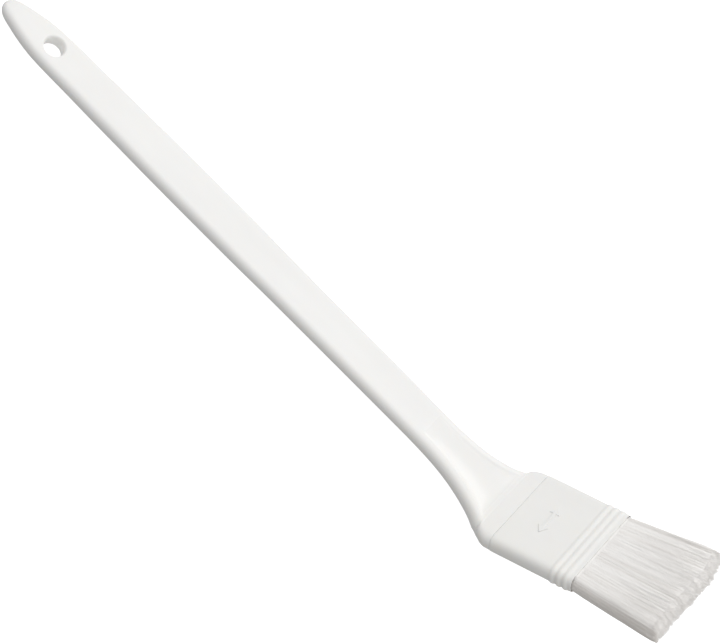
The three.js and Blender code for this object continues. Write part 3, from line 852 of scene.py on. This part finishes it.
# ------------------------------------------------------------------ the pieces inside, which keep their CAD shape
for names, mat in ((("resin_setting",), plain_variation("setting_resin", (0.80, 0.73, 0.55), 0.35, 260)),
                   (("spacer_strip",), plain_variation("strip_plastic", (0.78, 0.78, 0.77), 0.5, 400)),
                   (("root_row_front", "root_row_rear"), plain_variation("filament_roots", (0.82, 0.81, 0.78), 0.55, 900))):
    for n in names:
        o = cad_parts[n]
        o.data.materials.clear()
        o.data.materials.append(mat)

# ------------------------------------------------------------------ floor, light, camera
floor_mat, tree, bsdf = node_material("pale_floor")
bsdf.inputs["Base Color"].default_value = (0.9, 0.9, 0.9, 1)
bsdf.inputs["Roughness"].default_value = 0.9
bsdf.inputs["Specular IOR Level"].default_value = 0.1
bsdf.inputs["Emission Color"].default_value = (1, 1, 1, 1)
bsdf.inputs["Emission Strength"].default_value = 0.7
floor = make("floor", [(-3, -3, -0.0002), (3, -3, -0.0002), (3, 3, -0.0002), (-3, 3, -0.0002)], [(0, 1, 2, 3)], floor_mat, False)
floor.visible_diffuse = False
floor.visible_glossy = False


def area(name, place, look, size, power, colour=(1, 1, 1)):
    data = bpy.data.lights.new(name, "AREA")
    data.shape = "RECTANGLE"
    data.size, data.size_y = size
    data.energy = power
    data.color = colour
    o = bpy.data.objects.new(name, data)
    o.location = place
    o.rotation_mode = "QUATERNION"
    o.rotation_quaternion = (Vector(look) - Vector(place)).to_track_quat("-Z", "Y")
    bpy.context.scene.collection.objects.link(o)
    return o


area("overhead_softbox", (-0.12, 0.15, 2.2), (0, 0, 0), (1.8, 1.8), 10)
area("strip_softbox", (0.34, 1.08, 0.86), (0.10, 0, 0.01), (0.32, 0.62), 1.15)
area("low_fill", (1.30, -0.12, 0.19), (0.20, 0, 0.02), (0.5, 0.24), 2.2)
# What the pale table throws back up the hanging eye.
area("eye_bounce", (TIP + EYE_X * MM, 0, 0.0006), (TIP + EYE_X * MM, 0.0, 1.0), (0.008, 0.008), 0.00009)

# A studio dome: light from above and from the far side, darker towards the near side and below.
world = bpy.data.worlds.new("studio")
bpy.context.scene.world = world
world.use_nodes = True
tree = world.node_tree
coords = tree.nodes.new("ShaderNodeTexCoord")
dot = tree.nodes.new("ShaderNodeVectorMath")
dot.operation = "DOT_PRODUCT"
tree.links.new(coords.outputs["Generated"], dot.inputs[0])
dot.inputs[1].default_value = (-0.08, 0.5, 0.86)
tree.links.new(map_range(tree, dot.outputs["Value"], 0.40, 0.92, -0.35, 0.75), tree.nodes["Background"].inputs["Strength"])
tree.nodes["Background"].inputs["Color"].default_value = (1, 1, 1, 1)
bpy.context.scene.view_settings.view_transform = "Standard"

cam_data = bpy.data.cameras.new("camera")
cam_data.sensor_width = 36
cam_data.lens = 3300 / 720 * 36
cam_data.clip_start, cam_data.clip_end = 0.05, 20
cam = bpy.data.objects.new("camera", cam_data)
right = Vector((0.70602093, 0.58184062, 0.40372757))
down = Vector((0.70810466, -0.57108682, -0.41526815))
forward = Vector((-0.01105639, 0.57906937, -0.8152033))
cam.matrix_world = Matrix((
    (right.x, -down.x, -forward.x, TIP + 0.23449173),
    (right.y, -down.y, -forward.y, -0.86118459),
    (right.z, -down.z, -forward.z, 1.23853815),
    (0, 0, 0, 1)))
bpy.context.scene.collection.objects.link(cam)
bpy.context.scene.camera = cam
